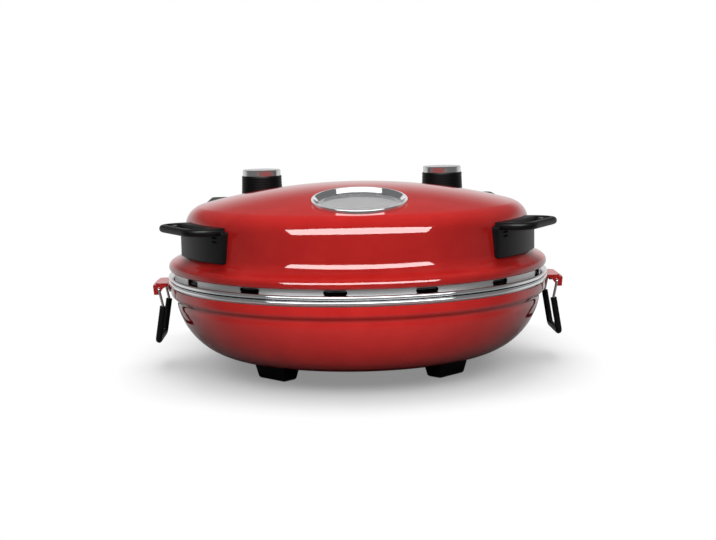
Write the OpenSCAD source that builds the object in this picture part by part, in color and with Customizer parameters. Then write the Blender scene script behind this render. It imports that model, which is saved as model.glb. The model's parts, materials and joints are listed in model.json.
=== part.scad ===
// Electric pizza maker: a round enamelled cooker with a hinged domed lid.
// The origin is on the body's axis at floor level. +Z is up and the front faces -Y.

/* [Body] */
// Radius of the body over the two rim beads
rim_r = 182; // [178:0.5:188]
// Height of the parting line between the base and the lid
rim_z = 86; // [83:0.5:92]
// Height of one rim bead
bead_h = 4; // [3.4:0.1:5]
// Gap between the two beads when the lid is shut
bead_gap = 0.6; // [0.4:0.1:1]
// Thickness of the painted sheet of the bowl and the lid
sheet_t = 1; // [0.8:0.1:1.4]
// Clearance between a fixed piece and the curved sheet that it sits on
seat_gap = 0.25; // [0.15:0.05:0.3]

/* [Base] */
// Width of the flat painted band under the lower bead
band_h = 6.7; // [5:0.1:8]
// Height of the underside of the bowl above the floor
bowl_z = 14.5; // [12:0.5:18]
// Distance from the rim in to the edge of the bowl's flat underside
bowl_floor_in = 60; // [56:1:67]
// Thickness of the inner pan and its flange
pan_t = 1; // [0.8:0.1:1.2]
// Height of the pan's floor above the underside of the bowl
pan_lift = 21.5; // [19:0.5:24]
// Distance from the rim in to the edge of the pan's flat floor
pan_floor_in = 50; // [46:1:54]

/* [Feet] */
// Distance from the rim in to the outer face of a foot
foot_in = 64.6; // [63:0.2:70]
// Width of a foot across, at the floor
foot_w = 34; // [30:1:40]
// Depth of a foot towards the axis, at the floor
foot_d = 16; // [14:1:20]
// How far a foot widens on each side towards its top
foot_flare = 3; // [1:0.5:4]

/* [Stone and heaters] */
// Distance from the rim in to the edge of the baking stone
stone_in = 27; // [25:1:37]
// Thickness of the baking stone
stone_t = 12; // [10:0.5:14]
// Height of the baking stone's underside above the pan's floor
stone_lift = 27; // [25:0.5:29]
// Distance from the rim in to the stone's supports
support_in = 58; // [55:1:62]
// Width of a stone support
support_w = 12; // [8:1:16]
// Outer radius of a heater tube
heater_tube_r = 3.25; // [2.8:0.05:3.6]
// Distance from the rim in to the lower heater's ring
lower_heater_in = 74; // [70:1:82]
// Height of the lower heater's tube above the pan's floor
lower_heater_lift = 14.5; // [12:0.5:17]
// Distance from the rim in to the upper heater's ring
upper_heater_in = 44; // [41:1:48]
// Drop from the dome's top to the upper heater's tube
upper_heater_drop = 55.2; // [52:0.2:58]

/* [Lid] */
// How far the rolled skirt sits inside the bead's radius
skirt_inset = 1; // [0.5:0.1:2]
// Height of the skirt's lower edge above the parting line
skirt_z = 9; // [8:0.5:10]
// Distance from the rim in to the foot of the lid's wall
wall_foot_in = 15; // [13:0.5:17]
// Distance from the rim in to the top of the lid's wall
wall_top_in = 18.2; // [17.2:0.1:20.5]
// Height of the shoulder above the parting line
shoulder_lift = 53; // [51:0.5:55]
// Distance from the rim in to where the shoulder meets the dome
dome_edge_in = 32; // [30:0.5:35]
// Spherical radius of the dome
dome_r = 600; // [560:5:640]
// Height of the dome's top above the parting line
dome_lift = 88.2; // [86:0.1:91]
// Number of slots in the steel band
slot_count = 14; // [8:1:18]
// Length of a slot in the steel band
slot_l = 20.5; // [12:0.5:24]
// Height of a slot in the steel band
slot_h = 4.4; // [3:0.1:5]
// Turn of the first slot from the front
slot_turn = -7.7; // [-12:0.1:12]

/* [Window] */
// Distance of the window's centre in front of the axis
window_y = 106; // [98:1:108]
// Radius of the glass that shows
window_r = 38; // [32:0.5:40]
// Width of the window's bright bezel
bezel_w = 4.7; // [4.2:0.1:6]
// Height of the bezel above the dome
bezel_h = 1.8; // [1.6:0.1:3]
// Thickness of the window glass
glass_t = 4; // [3:0.1:5]

/* [Handles] */
// Turn of each handle from the front
handle_turn = 60; // [56:1:63]
// Angle that a handle's plate spans
handle_span = 30; // [26:1:32]
// Distance of the handle plate's outer face in front of the foot of the lid's wall
handle_face_out = 4; // [3:0.5:7]
// Height of the handle plate's lower edge above the parting line
handle_z = 25.5; // [24:0.5:30]
// Height of the handle loop's top above the parting line
handle_top_z = 57; // [55:0.5:60]
// Thickness of the handle loop
loop_t = 6.5; // [5:0.5:9]
// How far the handle loop reaches past the rim
loop_out = 12; // [9:0.5:16]
// Half the width of the handle loop
loop_half_w = 42; // [40:0.5:44]
// Width of the bar round the finger hole
loop_bar = 9; // [7:0.5:10]

/* [Latches] */
// Distance of the latch's pivot outside the rim
latch_out = 8; // [7:0.5:10]
// Height of the latch's pivot below the parting line
latch_drop = 8; // [7.6:0.1:9]
// Half the distance between the legs of the wire bail
bail_half_w = 25; // [22:0.5:28]
// Radius of the bail's wire
wire_r = 1.25; // [1:0.05:1.4]
// Radius of the bail's grip sleeve
sleeve_r = 3; // [2.6:0.1:3.4]
// Distance from the bail's pivot down to its bottom bar
bail_l = 49.7; // [44:0.1:52]
// Distance from the bail's pivot down to the bend in its legs
bail_bend_l = 16.7; // [14:0.1:18]
// How far the bend in the legs leans towards the bowl
bail_bend_in = 3.5; // [2:0.1:4]

/* [Control housing] */
// Distance from the rim's side in to the side of the control housing
housing_side_in = 26; // [21:1:31]
// Distance of the housing's back face behind the rim
housing_back_out = 26; // [24:1:32]
// Distance of the housing's front ends in front of the rim's back
housing_front_in = 72; // [66:1:76]
// Height of the housing's underside above the floor
housing_z = 34; // [30:1:40]
// Height of the housing's top above the parting line
housing_lift = 61.5; // [60:0.5:63]
// Wall thickness of the moulded housing
housing_t = 2.5; // [2:0.1:3]
// Clearance between the housing and the moving lid
lid_gap = 2; // [1.5:0.1:3]
// Radius of the inlet hole in the back wall
inlet_r = 4.2; // [3.6:0.1:5]

/* [Knobs] */
// Distance from the housing's side in to each knob
knob_in = 57; // [52:0.5:62]
// Distance of the knobs' centres in front of the housing's back face
knob_back = 30; // [28:0.5:31]
// Radius of a knob's skirt at its foot
knob_r = 22.4; // [20:0.2:24]
// Height of a knob's skirt
knob_h = 24.2; // [21:0.2:26]
// Height of a knob's bright cap
cap_h = 6.6; // [5:0.2:8]
// Radius of a control's shaft
shaft_r = 3; // [2.5:0.1:3.5]
// Radial clearance where a shaft or wire turns in a hole
run_gap = 0.06; // [0.03:0.01:0.08]

/* [Hinge] */
// Distance of the hinge axis behind the rim
hinge_back = 4; // [3.5:0.5:6]
// Height of the hinge axis above the parting line
hinge_lift = 64; // [62:0.5:66]
// Radius of the hinge pin
pin_r = 2.5; // [2:0.1:3]
// Outer radius of the hinge barrel
barrel_r = 5.5; // [5:0.1:6]
// Half the length of the hinge barrel
barrel_half_l = 30; // [24:0.5:34]
// Thickness of the hinge's steel ears
ear_t = 2; // [1.5:0.1:2.5]

/* [Hidden] */
$fn = 96;

// Colours as the object shows them.
red = [0.74, 0.13, 0.12];
black = [0.09, 0.09, 0.10];
chrome = [0.86, 0.87, 0.88];
steel = [0.58, 0.58, 0.58];
stone_grey = [0.78, 0.72, 0.62];

// Small shared sizes.
joint_overlap = 1;
fit_gap = 0.3;
screw_r = 1.6;
screw_head_r = 3.2;
screw_head_h = 1.6;
screw_gap = 0.2;
head_seat = 0.06;
far = 400;

// Heights and radii of the base.
bead_z = rim_z - bead_gap/2 - bead_h;
bowl_top_z = bead_z - pan_t;
band_r = rim_r - 2;
band_z = bowl_top_z - band_h;
bowl_wall_r = rim_r - 7.8;
bowl_floor_r = rim_r - bowl_floor_in;
bowl_wall_z = band_z - 12;
bead_inner_r = rim_r - 12;
pan_z = bowl_z + pan_lift;
pan_floor_r = rim_r - pan_floor_in;
pan_wall_r = bead_inner_r - 1;
pan_top_z = pan_z + pan_t;
foot_r = rim_r - foot_in;
stone_z = pan_top_z + stone_lift;
stone_r = rim_r - stone_in;
support_r = rim_r - support_in;
lower_heater_z = pan_top_z + lower_heater_lift;
lower_heater_r = rim_r - lower_heater_in;

// Heights and radii of the lid.
lid_bead_z = rim_z + bead_gap/2;
lid_seat_t = 1.7;
skirt_r = rim_r - skirt_inset;
skirt_edge_z = rim_z + skirt_z;
skirt_edge_r = skirt_r - 3.6;
skirt_max_z = skirt_edge_z + 3.5;
wall_foot_z = skirt_max_z + 11.5;
wall_foot_r = rim_r - wall_foot_in;
wall_top_r = rim_r - wall_top_in;
shoulder_z = rim_z + shoulder_lift;
wall_lean = (wall_foot_r - wall_top_r)/(shoulder_z - wall_foot_z);
dome_z = rim_z + dome_lift;
dome_edge_r = rim_r - dome_edge_in;
dome_edge_slope = dome_edge_r/sqrt(dome_r*dome_r - dome_edge_r*dome_edge_r);
lid_band_r = skirt_edge_r - sheet_t - 0.4;
lid_band_t = 1;
lid_band_z = lid_bead_z + lid_seat_t;
lid_band_top_z = skirt_edge_z + 5;
liner_r = lid_band_r - lid_band_t - 0.5;
liner_z = lid_band_z;
upper_heater_z = dome_z - upper_heater_drop;
upper_heater_r = rim_r - upper_heater_in;

// The bends at the wall's foot, over its top and at the dome's edge.
foot_bend = 8;
shoulder_bend = 10.3;
dome_bend = 4;

// The window's frame follows the dome's slope.
window_tilt = asin(window_y/dome_r);
window_z = dome_height(window_y);
bezel_r = window_r + bezel_w;
window_hole_r = window_r + 3;

// The housing, the hinge and the controls.
housing_half_w = rim_r - housing_side_in;
housing_back_y = rim_r + housing_back_out;
housing_front_y = rim_r - housing_front_in;
hinge_y = rim_r + hinge_back;
hinge_z = rim_z + hinge_lift;
housing_top_z = rim_z + housing_lift;
housing_r = rim_r + lid_gap;
housing_step_z = band_z - 2;
recess_half_w = barrel_half_l + ear_t + 7;
recess_z = hinge_z - barrel_r - 5.5;
bracket_t = 1.6;
cover_t = 2;
knob_x = housing_half_w - knob_in;
knob_y = housing_back_y - knob_back;
knob_z = housing_top_z + 0.6;
control_r = 16;
control_h = 24;
control_top_z = housing_top_z - housing_t - 0.2;
latch_r = rim_r + latch_out;
latch_z = rim_z - latch_drop;
latch_plate_z = bead_z - 0.5;

// A height on the dome at a distance from the axis.
function dome_height(r) = dome_z - dome_r + sqrt(dome_r*dome_r - r*r);

// A smooth run of points between two ends, drawn towards two guide points.
function curve(a, b, c, d, steps) = [
    for (i = [0:steps]) let(t = i/steps, s = 1 - t)
        s*s*s*a + 3*s*s*t*b + 3*s*t*t*c + t*t*t*d];

// The outer outline of the bowl, from the rim down to the axis, grown outwards.
function bowl_outline(grow) = concat(
    [[band_r + grow, bowl_top_z], [band_r + grow, band_z], [band_r - 2.5 + grow, band_z - 1.4],
     [bowl_wall_r + grow, band_z - 4]],
    curve([bowl_wall_r + grow, bowl_wall_z], [bowl_wall_r - 4.7 + grow, bowl_wall_z - 24],
          [bowl_floor_r + 25 + grow, bowl_z], [bowl_floor_r, bowl_z], 14),
    [[0, bowl_z]]);

// The same outline moved in by the sheet's thickness.
function bowl_inside() = [
    for (p = bowl_outline(0)) [max(p.x - sheet_t, 0), min(p.y + sheet_t, bowl_top_z)]];

// The underside of the pan, from its flange down to the axis.
function pan_outline() = concat(
    [[pan_wall_r, bowl_top_z]],
    curve([pan_wall_r, bowl_top_z - 1], [pan_wall_r - 4, pan_z + 16],
          [pan_floor_r + 24, pan_z], [pan_floor_r, pan_z], 12),
    [[0, pan_z]]);
function pan_inside() = [
    for (p = pan_outline()) [max(p.x - pan_t, 0), min(p.y + pan_t, bead_z)]];

// The outer outline of the lid, from its lower edge up to the top, moved along both axes.
function lid_outline(dr, dz) = concat(
    curve([skirt_edge_r + dr, skirt_edge_z], [skirt_r + dr, skirt_edge_z + 0.2],
          [skirt_r + dr, skirt_max_z - 1], [skirt_r + dr, skirt_max_z], 4),
    curve([skirt_r + dr, skirt_max_z + dz], [skirt_r + dr, skirt_max_z + 4.6 + dz],
          [wall_foot_r + foot_bend*wall_lean + dr, wall_foot_z - foot_bend + dz],
          [wall_foot_r + dr, wall_foot_z + dz], 10),
    curve([wall_top_r + dr, shoulder_z + dz],
          [wall_top_r - shoulder_bend*wall_lean + dr, shoulder_z + shoulder_bend + dz],
          [dome_edge_r + dome_bend + dr, dome_height(dome_edge_r) - dome_bend*dome_edge_slope + dz],
          [dome_edge_r + dr, dome_height(dome_edge_r) + dz], 8),
    [for (i = [1:11]) let(r = dome_edge_r*(1 - i/12)) [r + dr*(1 - i/12), dome_height(r) + dz]],
    [[0, dome_z + dz]]);

// The upper side of the lid's liner, from its foot up to the axis.
function liner_outline(dr, dz) = concat(
    [[liner_r + dr, liner_z]],
    curve([liner_r + dr, liner_z + 2 + dz], [wall_foot_r - 5 + dr, liner_z + 34 + dz],
          [support_r - 4 + dr, dome_z - 22 + dz], [0, dome_z - 17 + dz], 18));

// A thin turned shell between an outline and the same outline moved inwards.
module shell(outline, inside) {
    rotate_extrude($fn = 120)
    polygon(concat(outline, [for (i = [len(inside)-1:-1:0]) inside[i]]));
}

// A solid that fills an outline down or up to a level.
module filled(outline, level) {
    rotate_extrude($fn = 120)
    polygon(concat([[0, level], [outline[0].x, level]], outline));
}

// Everything between two radii and two heights.
module ring(inner, outer, z0, z1) {
    rotate_extrude($fn = 120)
    polygon([[inner, z0], [outer, z0], [outer, z1], [inner, z1]]);
}

// Part of such a ring, centred on the +X side.
module sector(inner, outer, z0, z1, span) {
    rotate([0, 0, -span/2])
    rotate_extrude(angle = span, $fn = 120)
    polygon([[inner, z0], [outer, z0], [outer, z1], [inner, z1]]);
}

// Turns children so that +X points away from the axis, at a turn from the front.
module outward(turn) {
    rotate([0, 0, turn - 90]) children();
}

// A round bar between two points.
module bar(a, b, r) {
    d = b - a;
    translate(a)
    rotate([0, acos(d.z/norm(d)), atan2(d.y, d.x)])
    cylinder(r = r, h = norm(d), $fn = 24);
}

// A bar with knuckles at its bends, through a list of points.
knuckle = 1.08;
module bent_bar(points, r) {
    for (i = [0:len(points)-2]) bar(points[i], points[i+1], r);
    for (i = [1:len(points)-2]) translate(points[i]) sphere(r = knuckle*r, $fn = 32);
}

// A flat rectangle with round corners.
module round_rect(x0, x1, half_y, r) {
    translate([x0 + r, -half_y]) square([x1 - x0 - 2*r, 2*half_y]);
    translate([x0, r - half_y]) square([x1 - x0, 2*half_y - 2*r]);
    for (x = [x0 + r, x1 - r]) for (y = [r - half_y, half_y - r])
        translate([x, y]) circle(r = r, $fn = 32);
}

// A screw whose head sits below z = 0 and whose shank runs up from it.
module screw(length) {
    cylinder(r = screw_r, h = length, $fn = 24);
    translate([0, 0, -screw_head_h])
    cylinder(r1 = screw_head_r - 0.6, r2 = screw_head_r, h = screw_head_h, $fn = 24);
}

// A hole for the shank of that screw.
module screw_hole(length) {
    translate([0, 0, -joint_overlap])
    cylinder(r = screw_r + screw_gap, h = length + 2*joint_overlap, $fn = 24);
}

/* ---- base ---- */

// Places of the four feet, counted from the front.
foot_turns = [-45, 45, -135, 135];
foot_mid_r = foot_r - foot_d/2;
foot_h = bowl_z;

module at_feet() {
    for (turn = foot_turns) outward(turn) translate([foot_mid_r, 0, 0]) children();
}

// Places of the screws that hold the housing to the bowl.
housing_screw_turns = [148, 212];
housing_screw_z = bowl_wall_z + 4.4;
housing_screw_l = 12;

module at_housing_screws() {
    for (turn = housing_screw_turns)
        outward(turn) translate([bowl_wall_r - sheet_t - head_seat, 0, housing_screw_z])
        rotate([0, 90, 0]) children();
}

// A heater's two ends run to the back at this distance from the middle.
lead_x = 18;
lead_end_y = housing_r;
upper_lead_end_y = wall_top_r - sheet_t - 2;

// A ring of tube, open at the back, with an end block and a straight lead at each end.
module heater(ring_r, z, end_y) {
    turn = asin(lead_x/ring_r);
    block_w = heater_tube_r + 1.4;
    rotate([0, 0, 90 + turn])
    rotate_extrude(angle = 360 - 2*turn, $fn = 96)
    translate([ring_r, z]) circle(r = heater_tube_r, $fn = 24);
    for (side = [-1, 1]) {
        rotate([0, 0, 90 + side*turn])
        sector(ring_r - block_w, ring_r + block_w, z - block_w, z + block_w,
            2*asin(block_w/ring_r));
        translate([side*lead_x, ring_r*cos(turn), z]) rotate([-90, 0, 0])
        cylinder(r = heater_tube_r, h = end_y - ring_r*cos(turn), $fn = 24);
    }
}

// Holes where a heater's straight ends pass through sheet.
module lead_holes(ring_r, z) {
    for (x = [-lead_x, lead_x])
        translate([x, ring_r, z]) rotate([-90, 0, 0])
        cylinder(r = heater_tube_r + fit_gap, h = lead_end_y - ring_r, $fn = 32);
}

// Rivets fix each latch bracket to the painted band.
rivet_r = 1.5;
rivet_head_r = 2.15;
rivet_turn = 4.6;
rivet_z = band_z + band_h/2;

module at_rivets() {
    for (side = [-90, 90]) for (turn = [-rivet_turn, rivet_turn])
        outward(side + turn) translate([band_r - sheet_t, 0, rivet_z])
        rotate([0, 90, 0]) children();
}

module base_bowl() {
    color(red)
    difference() {
        shell(bowl_outline(0), bowl_inside());
        at_feet() translate([0, 0, bowl_z]) screw_hole(sheet_t);
        at_housing_screws() screw_hole(sheet_t);
        lead_holes(lower_heater_r, lower_heater_z);
        at_rivets() translate([0, 0, -joint_overlap])
            cylinder(r = rivet_r + screw_gap, h = sheet_t + 2*joint_overlap, $fn = 24);
    }
}

// The lower bead: a bright ring with a round outer edge.
module base_rim_ring() {
    color(chrome)
    bead(bead_z);
}

module bead(z) {
    rotate_extrude($fn = 120) {
        translate([bead_inner_r, z]) square([rim_r - bead_h/2 - bead_inner_r, bead_h]);
        translate([rim_r - bead_h/2, z + bead_h/2]) circle(r = bead_h/2, $fn = 24);
    }
}

module lower_pan() {
    color(steel)
    difference() {
        union() {
            shell(pan_outline(), pan_inside());
            ring(pan_wall_r - pan_t, band_r - 1, bowl_top_z, bead_z);
        }
        lead_holes(lower_heater_r, lower_heater_z);
    }
}

module lower_heater() {
    color(steel) heater(lower_heater_r, lower_heater_z, lead_end_y);
}

// Cradles that carry the lower heater on the pan's floor.
clip_turns = [0, 120, 240];
clip_w = 9;
clip_t = 3;

module lower_heater_clips() {
    color(steel)
    for (turn = clip_turns) outward(turn)
        difference() {
            translate([lower_heater_r - clip_w/2, -clip_t/2, pan_top_z])
            cube([clip_w, clip_t, lower_heater_lift]);
            rotate([0, 0, -5]) rotate_extrude(angle = 10, $fn = 96)
            translate([lower_heater_r, lower_heater_z])
            circle(r = heater_tube_r + 0.1, $fn = 24);
        }
}

// Bent strips that carry the stone at four places.
support_t = 1.5;
support_tab = 14;
support_turns = [45, 135, 225, 315];

module stone_supports() {
    color(steel)
    for (turn = support_turns) outward(turn)
        translate([support_r, -support_w/2, pan_top_z]) {
            translate([-support_tab, 0, 0]) cube([support_tab, support_w, support_t]);
            cube([support_t, support_w, stone_lift]);
            translate([0, 0, stone_lift - support_t])
            cube([support_tab, support_w, support_t]);
        }
}

module baking_stone() {
    color(stone_grey)
    translate([0, 0, stone_z])
    rotate_extrude($fn = 120)
    polygon([[0, 0], [stone_r - 1, 0], [stone_r, 1], [stone_r, stone_t - 2],
             [stone_r - 2, stone_t], [0, stone_t]]);
}

// A moulded foot that widens towards the bowl, with a hole for its screw.
module foot(turn) {
    color(black)
    outward(turn) translate([foot_mid_r, 0, 0])
    difference() {
        intersection() {
            rotate([90, 0, 0])
            translate([0, 0, -foot_w]) linear_extrude(2*foot_w)
            polygon([[-foot_d/2, 0], [foot_d/2, 0], [foot_d/2 + foot_flare, foot_h],
                     [-foot_d/2 - foot_flare, foot_h]]);
            rotate([90, 0, 90])
            translate([0, 0, -foot_w]) linear_extrude(2*foot_w)
            polygon([[-foot_w/2, 0], [foot_w/2, 0], [foot_w/2 + foot_flare, foot_h],
                     [-foot_w/2 - foot_flare, foot_h]]);
        }
        translate([0, 0, foot_h/2]) screw_hole(foot_h/2);
    }
}

module foot_screws() {
    color(steel)
    at_feet() translate([0, 0, bowl_z + sheet_t]) mirror([0, 0, 1])
        screw(sheet_t + foot_h/2 - joint_overlap);
}

/* ---- latches ---- */

latch_plate_t = 1.6;
latch_out_r = latch_r + 6;
latch_ear_y = bail_half_w - wire_r - 0.75;
latch_plate_half_w = latch_ear_y + 0.2;
latch_ear_h = 9.2;
latch_span = 2*asin((latch_plate_half_w - 4)/band_r);

module latch_ear() {
    rotate([90, 0, 0]) linear_extrude(latch_plate_t)
    polygon([[latch_r - 5, -0.4], [latch_out_r - 0.3, -0.4], [latch_out_r - 1.1, -latch_ear_h],
             [latch_r + 0.6, -latch_ear_h], [latch_r - 4, -3]]);
}

module latch_bracket() {
    inner_r = band_r + seat_gap;
    difference() {
        union() {
            sector(inner_r - 2, inner_r + latch_plate_t, band_z + 0.4,
                latch_plate_z - latch_plate_t/2, latch_span);
            translate([0, 0, latch_plate_z - latch_plate_t])
            linear_extrude(latch_plate_t)
            round_rect(band_r - 8, latch_out_r, latch_plate_half_w, 6);
            translate([0, 0, latch_plate_z - 0.1])
            linear_extrude(latch_plate_t)
            round_rect(rim_r - 8, latch_out_r - 2, latch_plate_half_w - 2, 5);
            for (y = [latch_plate_t - latch_ear_y, latch_ear_y])
                translate([0, y, latch_plate_z]) latch_ear();
        }
        cylinder(r = inner_r, h = far, $fn = 120);
        translate([0, 0, latch_plate_z - 0.05]) cylinder(r = rim_r + 0.5, h = far, $fn = 120);
        translate([latch_r, -far/2, latch_z]) rotate([-90, 0, 0])
            cylinder(r = wire_r + run_gap, h = far, $fn = 32);
        for (turn = [-rivet_turn, rivet_turn])
            rotate([0, 0, turn]) translate([band_r - joint_overlap, 0, rivet_z])
            rotate([0, 90, 0]) cylinder(r = rivet_r + screw_gap, h = 6, $fn = 24);
    }
}

module latch_bracket_right() {
    color(red) latch_bracket();
}

module latch_bracket_left() {
    color(red) mirror([1, 0, 0]) latch_bracket();
}

module bracket_rivets() {
    stack = sheet_t + seat_gap + latch_plate_t;
    color(steel)
    at_rivets() {
        cylinder(r = rivet_r, h = stack + 0.2, $fn = 24);
        translate([0, 0, -1]) cylinder(r = rivet_head_r, h = 0.8, $fn = 24);
        translate([0, 0, -0.2]) cylinder(r = rivet_r, h = 0.4, $fn = 24);
        translate([0, 0, stack + 0.2])
        cylinder(r1 = rivet_head_r, r2 = rivet_head_r - 0.8, h = 1, $fn = 24);
    }
}

// The bail's route: an end in the ear, a bent leg, the bottom bar and back again.
bail_out = 1.9;
bail_end_y = latch_ear_y - latch_plate_t - 2;
bail_half = [[latch_r, bail_end_y, latch_z], [latch_r, bail_half_w, latch_z],
             [latch_r - bail_bend_in, bail_half_w, latch_z - bail_bend_l],
             [latch_r + bail_out, bail_half_w, latch_z - bail_l]];
bail_points = concat([for (p = bail_half) [p.x, -p.y, p.z]],
                     [for (i = [len(bail_half)-1:-1:0]) bail_half[i]]);
grip_points = [for (i = [2:5]) bail_points[i]];

module latch_bail() {
    bent_bar(bail_points, wire_r);
}

module bail_grip() {
    difference() {
        bent_bar(grip_points, sleeve_r);
        bent_bar([for (i = [1:6]) bail_points[i]], wire_r + run_gap/2);
    }
}

module latch_bail_right() {
    color(chrome) latch_bail();
}

module latch_bail_left() {
    color(chrome) mirror([1, 0, 0]) latch_bail();
}

module bail_grip_right() {
    color(black) bail_grip();
}

module bail_grip_left() {
    color(black) mirror([1, 0, 0]) bail_grip();
}

/* ---- control housing ---- */

// The round body that the housing wraps, grown by a wall.
module body_clearance(grow) {
    filled(bowl_outline(seat_gap + grow), far);
    translate([0, 0, housing_step_z - grow])
    cylinder(r = housing_r + grow, h = far, $fn = 120);
}

module housing_block(inset, z0, z1) {
    r = 6 - inset;
    translate([0, 0, z0])
    linear_extrude(z1 - z0)
    rotate([0, 0, 90])
    round_rect(housing_front_y + inset, housing_back_y - inset, housing_half_w - inset, r);
}

module hinge_recess(grow) {
    translate([-recess_half_w - grow, 0, recess_z - grow])
    cube([2*(recess_half_w + grow), hinge_y + barrel_r + 9 + grow, far]);
}

// Posts inside the housing that take the cover's screws.
post_r = 4;
post_h = 22;
post_seat = housing_t + post_r - 1;
post_places = [[housing_half_w - post_seat, housing_front_y + 20],
               [housing_half_w - 37, housing_back_y - post_seat]];

module at_posts() {
    for (side = [-1, 1]) for (p = post_places) translate([side*p.x, p.y, 0]) children();
}

// Places of the two screws that hold each control.
control_screw_x = 10;

module at_controls() {
    for (side = [-1, 1]) translate([side*knob_x, knob_y, 0]) children();
}

module at_control_screws() {
    at_controls() for (x = [-control_screw_x, control_screw_x])
        translate([x, 0, housing_top_z]) mirror([0, 0, 1]) children();
}

hinge_screw_x = 16;
hinge_plate_y = hinge_y + 9;

module at_hinge_screws() {
    for (x = [-hinge_screw_x, hinge_screw_x])
        translate([x, hinge_plate_y, recess_z + bracket_t]) mirror([0, 0, 1]) children();
}

gland_z = housing_z + 26;

module control_housing() {
    color(black)
    difference() {
        union() {
            difference() {
                housing_block(0, housing_z + cover_t, housing_top_z);
                hinge_recess(0);
                difference() {
                    housing_block(housing_t, housing_z, housing_top_z - housing_t);
                    body_clearance(housing_t);
                    hinge_recess(housing_t);
                }
            }
            at_posts() translate([0, 0, housing_z + cover_t])
                cylinder(r = post_r, h = post_h, $fn = 32);
        }
        body_clearance(0);
        at_posts() translate([0, 0, housing_z + cover_t]) screw_hole(post_h/2);
        at_housing_screws() screw_hole(housing_screw_l + joint_overlap);
        lead_holes(lower_heater_r, lower_heater_z);
        at_controls() translate([0, 0, housing_top_z - 2*housing_t])
            cylinder(r = shaft_r + 1.5, h = 4*housing_t, $fn = 32);
        at_control_screws() screw_hole(housing_t);
        at_hinge_screws() screw_hole(bracket_t + housing_t);
        translate([0, housing_back_y - 2*housing_t, gland_z]) rotate([-90, 0, 0])
            cylinder(r = inlet_r + 2.2, h = 4*housing_t, $fn = 48);
    }
}

module housing_cover() {
    color(black)
    difference() {
        housing_block(0, housing_z, housing_z + cover_t);
        body_clearance(0);
        at_posts() translate([0, 0, housing_z]) screw_hole(cover_t);
    }
}

module cover_screws() {
    color(steel)
    at_posts() translate([0, 0, housing_z]) screw(cover_t + post_h/2 - joint_overlap);
}

module housing_screws() {
    color(steel)
    at_housing_screws() screw(housing_screw_l);
}

// The gland in the back wall through which the supply enters.
module cord_gland() {
    color(black)
    translate([0, housing_back_y, gland_z]) rotate([90, 0, 0])
    difference() {
        union() {
            translate([0, 0, -2.5]) cylinder(r = inlet_r + 4.5, h = 2.4, $fn = 48);
            translate([0, 0, -0.2]) cylinder(r = inlet_r + 2, h = housing_t + 3, $fn = 48);
        }
        translate([0, 0, -far/2]) cylinder(r = inlet_r, h = far, $fn = 48);
    }
}

block_half_w = 22;
block_h = 12;
block_hole_x = 15;
block_space = 4;

module terminal_block() {
    front_y = lead_end_y + block_space;
    color("white")
    difference() {
        translate([-block_half_w, front_y, housing_z + cover_t])
        cube([2*block_half_w, housing_back_y - housing_t - 2*block_space - front_y, block_h]);
        for (x = [-block_hole_x, 0, block_hole_x])
            translate([x, 0, housing_z + cover_t + 0.6*block_h]) rotate([-90, 0, 0])
            cylinder(r = 2.2, h = far, $fn = 24);
    }
}

// Leads from the terminal block up to the two controls.
module wiring() {
    block_z = housing_z + cover_t + block_h;
    wire_y = lead_end_y + 2*block_space;
    color("white")
    for (side = [-1, 1])
        bent_bar([[side*12, wire_y, block_z], [side*12, wire_y, block_z + 16],
                  [side*knob_x, wire_y, block_z + 16],
                  [side*knob_x, wire_y, control_top_z - control_h]], 1.5);
}

module control_body() {
    translate([0, 0, control_top_z - control_h])
    difference() {
        cylinder(r = control_r, h = control_h, $fn = 64);
        translate([0, 0, 4]) cylinder(r = shaft_r + run_gap, h = control_h, $fn = 48);
        for (x = [-control_screw_x, control_screw_x])
            translate([x, 0, control_h/2]) cylinder(r = screw_r + screw_gap, h = far, $fn = 24);
    }
}

module thermostat_body() {
    color(steel) translate([-knob_x, knob_y, 0]) control_body();
}

module timer_body() {
    color(steel) translate([knob_x, knob_y, 0]) control_body();
}

module control_screws() {
    color(steel)
    at_control_screws() screw(housing_t + control_h/3);
}

/* ---- hinge ---- */

module hinge_bracket() {
    ear_x = barrel_half_l + 0.5;
    color(steel)
    difference() {
        union() {
            translate([-ear_x - ear_t, hinge_y - 1, recess_z])
            cube([2*(ear_x + ear_t), barrel_r + 9, bracket_t]);
            for (x = [-ear_x - ear_t, ear_x]) {
                translate([x, hinge_y - pin_r - 3, recess_z])
                cube([ear_t, pin_r + 3 + barrel_r + 8, hinge_z - recess_z - pin_r]);
                translate([x, hinge_y, hinge_z]) rotate([0, 90, 0])
                cylinder(r = pin_r + 3, h = ear_t, $fn = 48);
            }
        }
        translate([0, 0, -joint_overlap]) cylinder(r = housing_r - 6, h = far, $fn = 120);
        translate([-far/2, hinge_y, hinge_z]) rotate([0, 90, 0])
            cylinder(r = pin_r + run_gap/2, h = far, $fn = 48);
        at_hinge_screws() screw_hole(bracket_t);
    }
}

module hinge_pin() {
    half = barrel_half_l + 0.5 + ear_t;
    color(chrome)
    translate([-half - 0.4, hinge_y, hinge_z]) rotate([0, 90, 0]) {
        cylinder(r = pin_r, h = 2*half + 0.8, $fn = 48);
        translate([0, 0, -1.6]) cylinder(r = pin_r + 1.5, h = 1.6, $fn = 48);
        translate([0, 0, 2*half + 0.8]) cylinder(r = pin_r + 1.5, h = 1.6, $fn = 48);
    }
}

module hinge_screws() {
    color(steel)
    at_hinge_screws() screw(bracket_t + housing_t + 3);
}

// Screws through the lid's rear wall into the arm.
arm_screw_z = wall_foot_z + 14;
arm_screw_turn = 6.3;
arm_screw_l = 7;
arm_out = 5;

module at_arm_screws() {
    for (turn = [180 - arm_screw_turn, 180 + arm_screw_turn])
        at_lid_wall(turn, arm_screw_z) children();
}

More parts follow.
